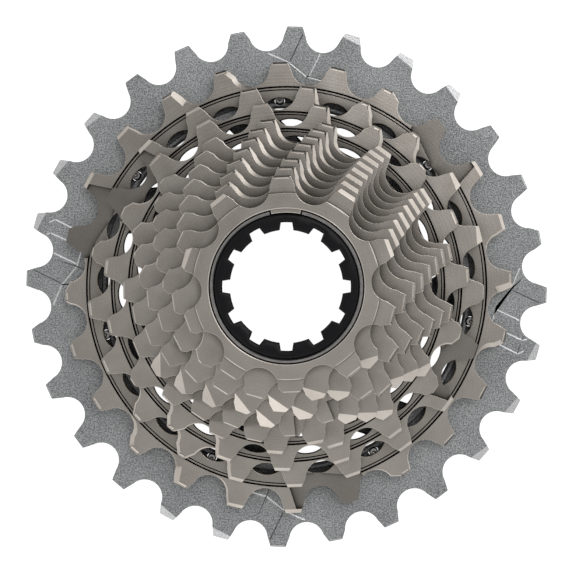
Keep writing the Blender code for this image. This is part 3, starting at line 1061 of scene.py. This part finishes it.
# Edges of the shift ramps in one quarter of the largest sprocket: half width and depth of
# the line, then its (clockwise angle, radius) points
RAMP_LINES = (
    (0.19, 0.08, ((-4.5, 52.3), (0.5, 50.3), (5.5, 47.15), (10.0, 46.7))),
    (0.15, 0.25, ((3.7, 56.5), (0.9, 50.5))),
    (0.15, 0.065, ((8.2, 52.5), (6.2, 47.35))),
    (0.15, 0.065, ((12.4, 54.9), (12.8, 54.0), (11.7, 49.6))),
    (0.15, 0.065, ((15.2, 54.9), (16.2, 53.8), (15.0, 48.3))),
)
# Which of the ramp lines each quarter of the rim has
LINES_PRESENT = ((0, 1, 2), (0, 1, 2, 3, 4), (0, 1), (0, 1, 2, 3, 4))
# Lines that meet are cut in different rounds
LINE_ROUNDS = ((0, 3, 4), (1, 2))


def add_ramp_line(bm, start, end, front, half, depth):
    """Adds a narrow trench with a V-shaped section along a straight line."""
    overrun = 0.05
    first = polar(start[1], start[0])
    last = polar(end[1], end[0])
    along = (last - first).normalized()
    across = Vector((-along.y, along.x))
    rings = []
    for point in (first - along * overrun, last + along * overrun):
        rings.append([
            (*(point + across * half * 2), front + depth),
            (*point, front - depth),
            (*(point - across * half * 2), front + depth),
        ])
    add_block(bm, rings[0], rings[1])


def cut_ramp_lines(target, front):
    for group in LINE_ROUNDS:
        bm = bmesh.new()
        for quarter, present in enumerate(LINES_PRESENT):
            for line in group:
                if line not in present:
                    continue
                half, depth, corners = RAMP_LINES[line]
                path = [(quarter * 90 + angle, radius) for angle, radius in corners]
                for start, end in zip(path, path[1:]):
                    add_ramp_line(bm, start, end, front, half, depth)
        cut_with(target, bm)


def largest_sprocket():
    """Toothed rim, thicker carrier with slanted arms, and collar, all one piece. Also
    gives the places of the pins."""
    teeth, first, styles = LARGEST
    arm_angles = [FIRST_ARM - arm * 360 / ARMS for arm in range(ARMS)]
    pin_places = [polar(PIN_ORBIT, angle + PIN_TURN) for angle in arm_angles]
    bore = driver_bore()
    openings = [bore] + [window(angle) for angle in arm_angles]
    holes = [circle(PIN_HOLE, PIN_SEGMENTS, place, 0.1) for place in pin_places]
    contours = [tooth_ring(teeth, first, styles)] + openings + holes
    sprocket = plate("alloy_sprocket_28t", contours, 0, PLATE)
    cut_teeth(sprocket, teeth, first, styles, PLATE)
    cut_ramp_lines(sprocket, PLATE)
    mark_faces(sprocket, "machined", machined)

    # The carrier's rim crosses the pin holes, so they are cut out of it afterwards
    disc = circle(CARRIER_RIM, width=0.25)
    carrier = plate("carrier", [disc] + openings, CARRIER_BACK, CARRIER_FRONT, JOINED_EDGE)
    bm = bmesh.new()
    for points, _, _ in holes:
        add_prism(bm, points, 0, PIN_HOLE_TOP)
    cut_with(carrier, bm)
    boolean(sprocket, carrier, "UNION")
    collar = plate("collar", [circle(COLLAR, width=0.4), bore], COLLAR_BACK, COLLAR_FRONT, JOINED_EDGE)
    boolean(sprocket, collar, "UNION")
    return sprocket, pin_places


# Stage, light and camera

# Studio brightness by height above the horizon: (sine of the elevation, brightness)
SKY = ((0.0, 0.4), (0.3, 0.65), (0.52, 1.0), (0.74, 0.82), (0.86, 0.57), (0.95, 0.37), (1.0, 0.3))
# Brighter and darker parts of the studio: clockwise angle, elevation, spread, gain
PANELS = (
    (355, -22, 54, -1.4),
    (117, -22, 48, -1.2),
    (75, 30, 35, 0.35),
    (165, 45, 40, 0.1),
    (205, 25, 40, 0.2),
    (45, 36, 28, 0.8),
    (95, 62, 24, -0.35),
    (320, 65, 30, -0.12),
    (137, 80, 14, 0.25),
    (252, 82, 10, 0.18),
)
# Least brightness of the studio in any direction
DARKEST = 0.03
# Half the floor's side, and how far it lies below the part
FLOOR_HALF = 3000
FLOOR_DROP = 0.3
# Camera in front of the smallest sprocket, and its focal length
CAMERA_PLACE = (0.2, -0.2, 328.6)
LENS = 91.6


def direction(clockwise, elevation):
    level = math.radians(elevation)
    flat = polar(math.cos(level), clockwise)
    return Vector((flat.x, flat.y, math.sin(level)))


def floor():
    bm = bmesh.new()
    corners = [
        bm.verts.new((x * FLOOR_HALF * MM, y * FLOOR_HALF * MM, -FLOOR_DROP * MM))
        for x, y in ((-1, -1), (1, -1), (1, 1), (-1, 1))
    ]
    bm.faces.new(corners)
    obj = link_mesh("floor", bm)
    material, tree, shader = new_material("floor_white", (0.3, 0.3, 0.3), 0.0, 0.9)
    shader.inputs["Specular IOR Level"].default_value = 0.0
    shader.inputs["Emission Color"].default_value = (1, 1, 1, 1)
    # Pale to the camera, and nearly unlit in what the metal reflects
    path = node(tree, "ShaderNodeLightPath")
    glow = ramp(tree, path.outputs["Is Camera Ray"], 0.02, 1.0, 0.0, 1.0)
    tree.links.new(glow, shader.inputs["Emission Strength"])
    obj.data.materials.append(material)


def panel_light(tree, towards, clockwise, elevation, spread, gain):
    """Brightness of one panel: its gain at the middle, fading out over its spread."""
    dot = node(tree, "ShaderNodeVectorMath", operation="DOT_PRODUCT")
    tree.links.new(towards, dot.inputs[0])
    dot.inputs[1].default_value = direction(clockwise, elevation)
    fade = node(tree, "ShaderNodeMapRange", interpolation_type="SMOOTHSTEP")
    for socket, value in zip((1, 2, 3, 4), (math.cos(math.radians(spread)), 1.0, 0.0, gain)):
        fade.inputs[socket].default_value = value
    tree.links.new(dot.outputs["Value"], fade.inputs[0])
    return fade.outputs[0]


def world():
    made = bpy.data.worlds.new("studio")
    bpy.context.scene.world = made
    made.use_nodes = True
    tree = made.node_tree
    background = tree.nodes["Background"]
    place = node(tree, "ShaderNodeTexCoord")
    split = node(tree, "ShaderNodeSeparateXYZ")
    tree.links.new(place.outputs["Generated"], split.inputs[0])
    gradient = node(tree, "ShaderNodeValToRGB")
    elements = gradient.color_ramp.elements
    elements[0].position = SKY[0][0]
    elements[1].position = SKY[-1][0]
    for position, _ in SKY[1:-1]:
        elements.new(position)
    for element, (_, tone) in zip(elements, SKY):
        element.color = (tone, tone, tone, 1)
    tree.links.new(split.outputs["Z"], gradient.inputs[0])
    total = gradient.outputs[0]
    for panel in PANELS:
        brightness = panel_light(tree, place.outputs["Generated"], *panel)
        total = maths(tree, "ADD", total, brightness)
    total = maths(tree, "MAXIMUM", total, DARKEST)
    tree.links.new(total, background.inputs["Strength"])
    background.inputs["Color"].default_value = (1, 1, 1, 1)


def area_light(name, clockwise, elevation, distance, size, brightness):
    """Square soft light; brightness is what a mirror would show of it."""
    data = bpy.data.lights.new(name, "AREA")
    data.shape = "SQUARE"
    data.size = size
    data.energy = brightness * math.pi * size * size
    obj = bpy.data.objects.new(name, data)
    bpy.context.scene.collection.objects.link(obj)
    towards = direction(clockwise, elevation)
    obj.location = towards * distance
    obj.rotation_euler = (-towards).to_track_quat("-Z", "Y").to_euler()


def camera():
    data = bpy.data.cameras.new("camera")
    data.lens = LENS
    data.sensor_width = 36
    data.clip_start = 0.01
    obj = bpy.data.objects.new("camera", data)
    bpy.context.scene.collection.objects.link(obj)
    obj.location = [length * MM for length in CAMERA_PLACE]
    bpy.context.scene.camera = obj


# Everything together

def z_range(node_name):
    """Heights of a CAD node's lowest and highest points."""
    return [corner.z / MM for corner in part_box(node_name)]


def build_steel(steel):
    """The steel sprockets from the largest to the smallest, which also has the hub's face."""
    next_front = PLATE
    for index, (teeth, _, _) in enumerate(STEEL):
        smallest = index == len(STEEL) - 1
        _, front = z_range(f"sprocket_{teeth}t")
        if smallest:
            front -= HUB_BOSS_RISE
        sprocket = steel_sprocket(index, front, next_front)
        if smallest:
            boolean(sprocket, hub_face(front), "UNION")
            boolean(sprocket, ring_key(front), "UNION")
        place_piece(sprocket, f"sprocket_{teeth}t", "cluster", steel)
        next_front = front


def build_lock_parts(black, spring, bronze):
    low, high = z_range("thrust_washer")
    washer = lathe("thrust_ring", ring_section(SHOULDER, FLANGE, low, high, 0.08))
    place_piece(washer, "thrust_washer", "thrust_washer", bronze, 30)

    flange_low = high + FLANGE_GAP
    _, front = z_range("lock_tube")
    tube = lock_tube(front, flange_low, flange_low + FLANGE_HEIGHT)
    place_piece(tube, "lock_tube", "lock_tube", black, 30)

    low, high = z_range("retaining_ring")
    section = ring_section(RING_INNER, RING_OUTER, low, high, 0.2)
    snap = lathe("snap_ring", section, 120, RING_START, RING_END)
    place_piece(snap, "retaining_ring", "cluster", spring, 40)


def build():
    steel = nickel_steel()
    alloy = blasted_aluminium()
    black = black_anodised()
    spring = turned_metal("spring_steel", (0.34, 0.33, 0.32), (0.46, 0.45, 0.44), 0.2)
    bronze = turned_metal("bronze", (0.45, 0.31, 0.16), (0.62, 0.46, 0.27), 0.33)

    sprocket, pin_places = largest_sprocket()
    place_piece(sprocket, "sprocket_28t", "cluster", alloy)
    for number, place in enumerate(pin_places, 1):
        made = pin(f"rivet_{number}", place)
        place_piece(made, f"dome_pin_{number}", "cluster", spring, 30)
    build_steel(steel)
    build_lock_parts(black, spring, bronze)

    floor()
    world()
    area_light("key", clockwise=34, elevation=62, distance=0.9, size=0.35, brightness=3.2)
    area_light("fill", clockwise=215, elevation=40, distance=0.9, size=0.35, brightness=0.5)
    camera()
    bpy.context.scene.view_settings.view_transform = "Standard"


build()
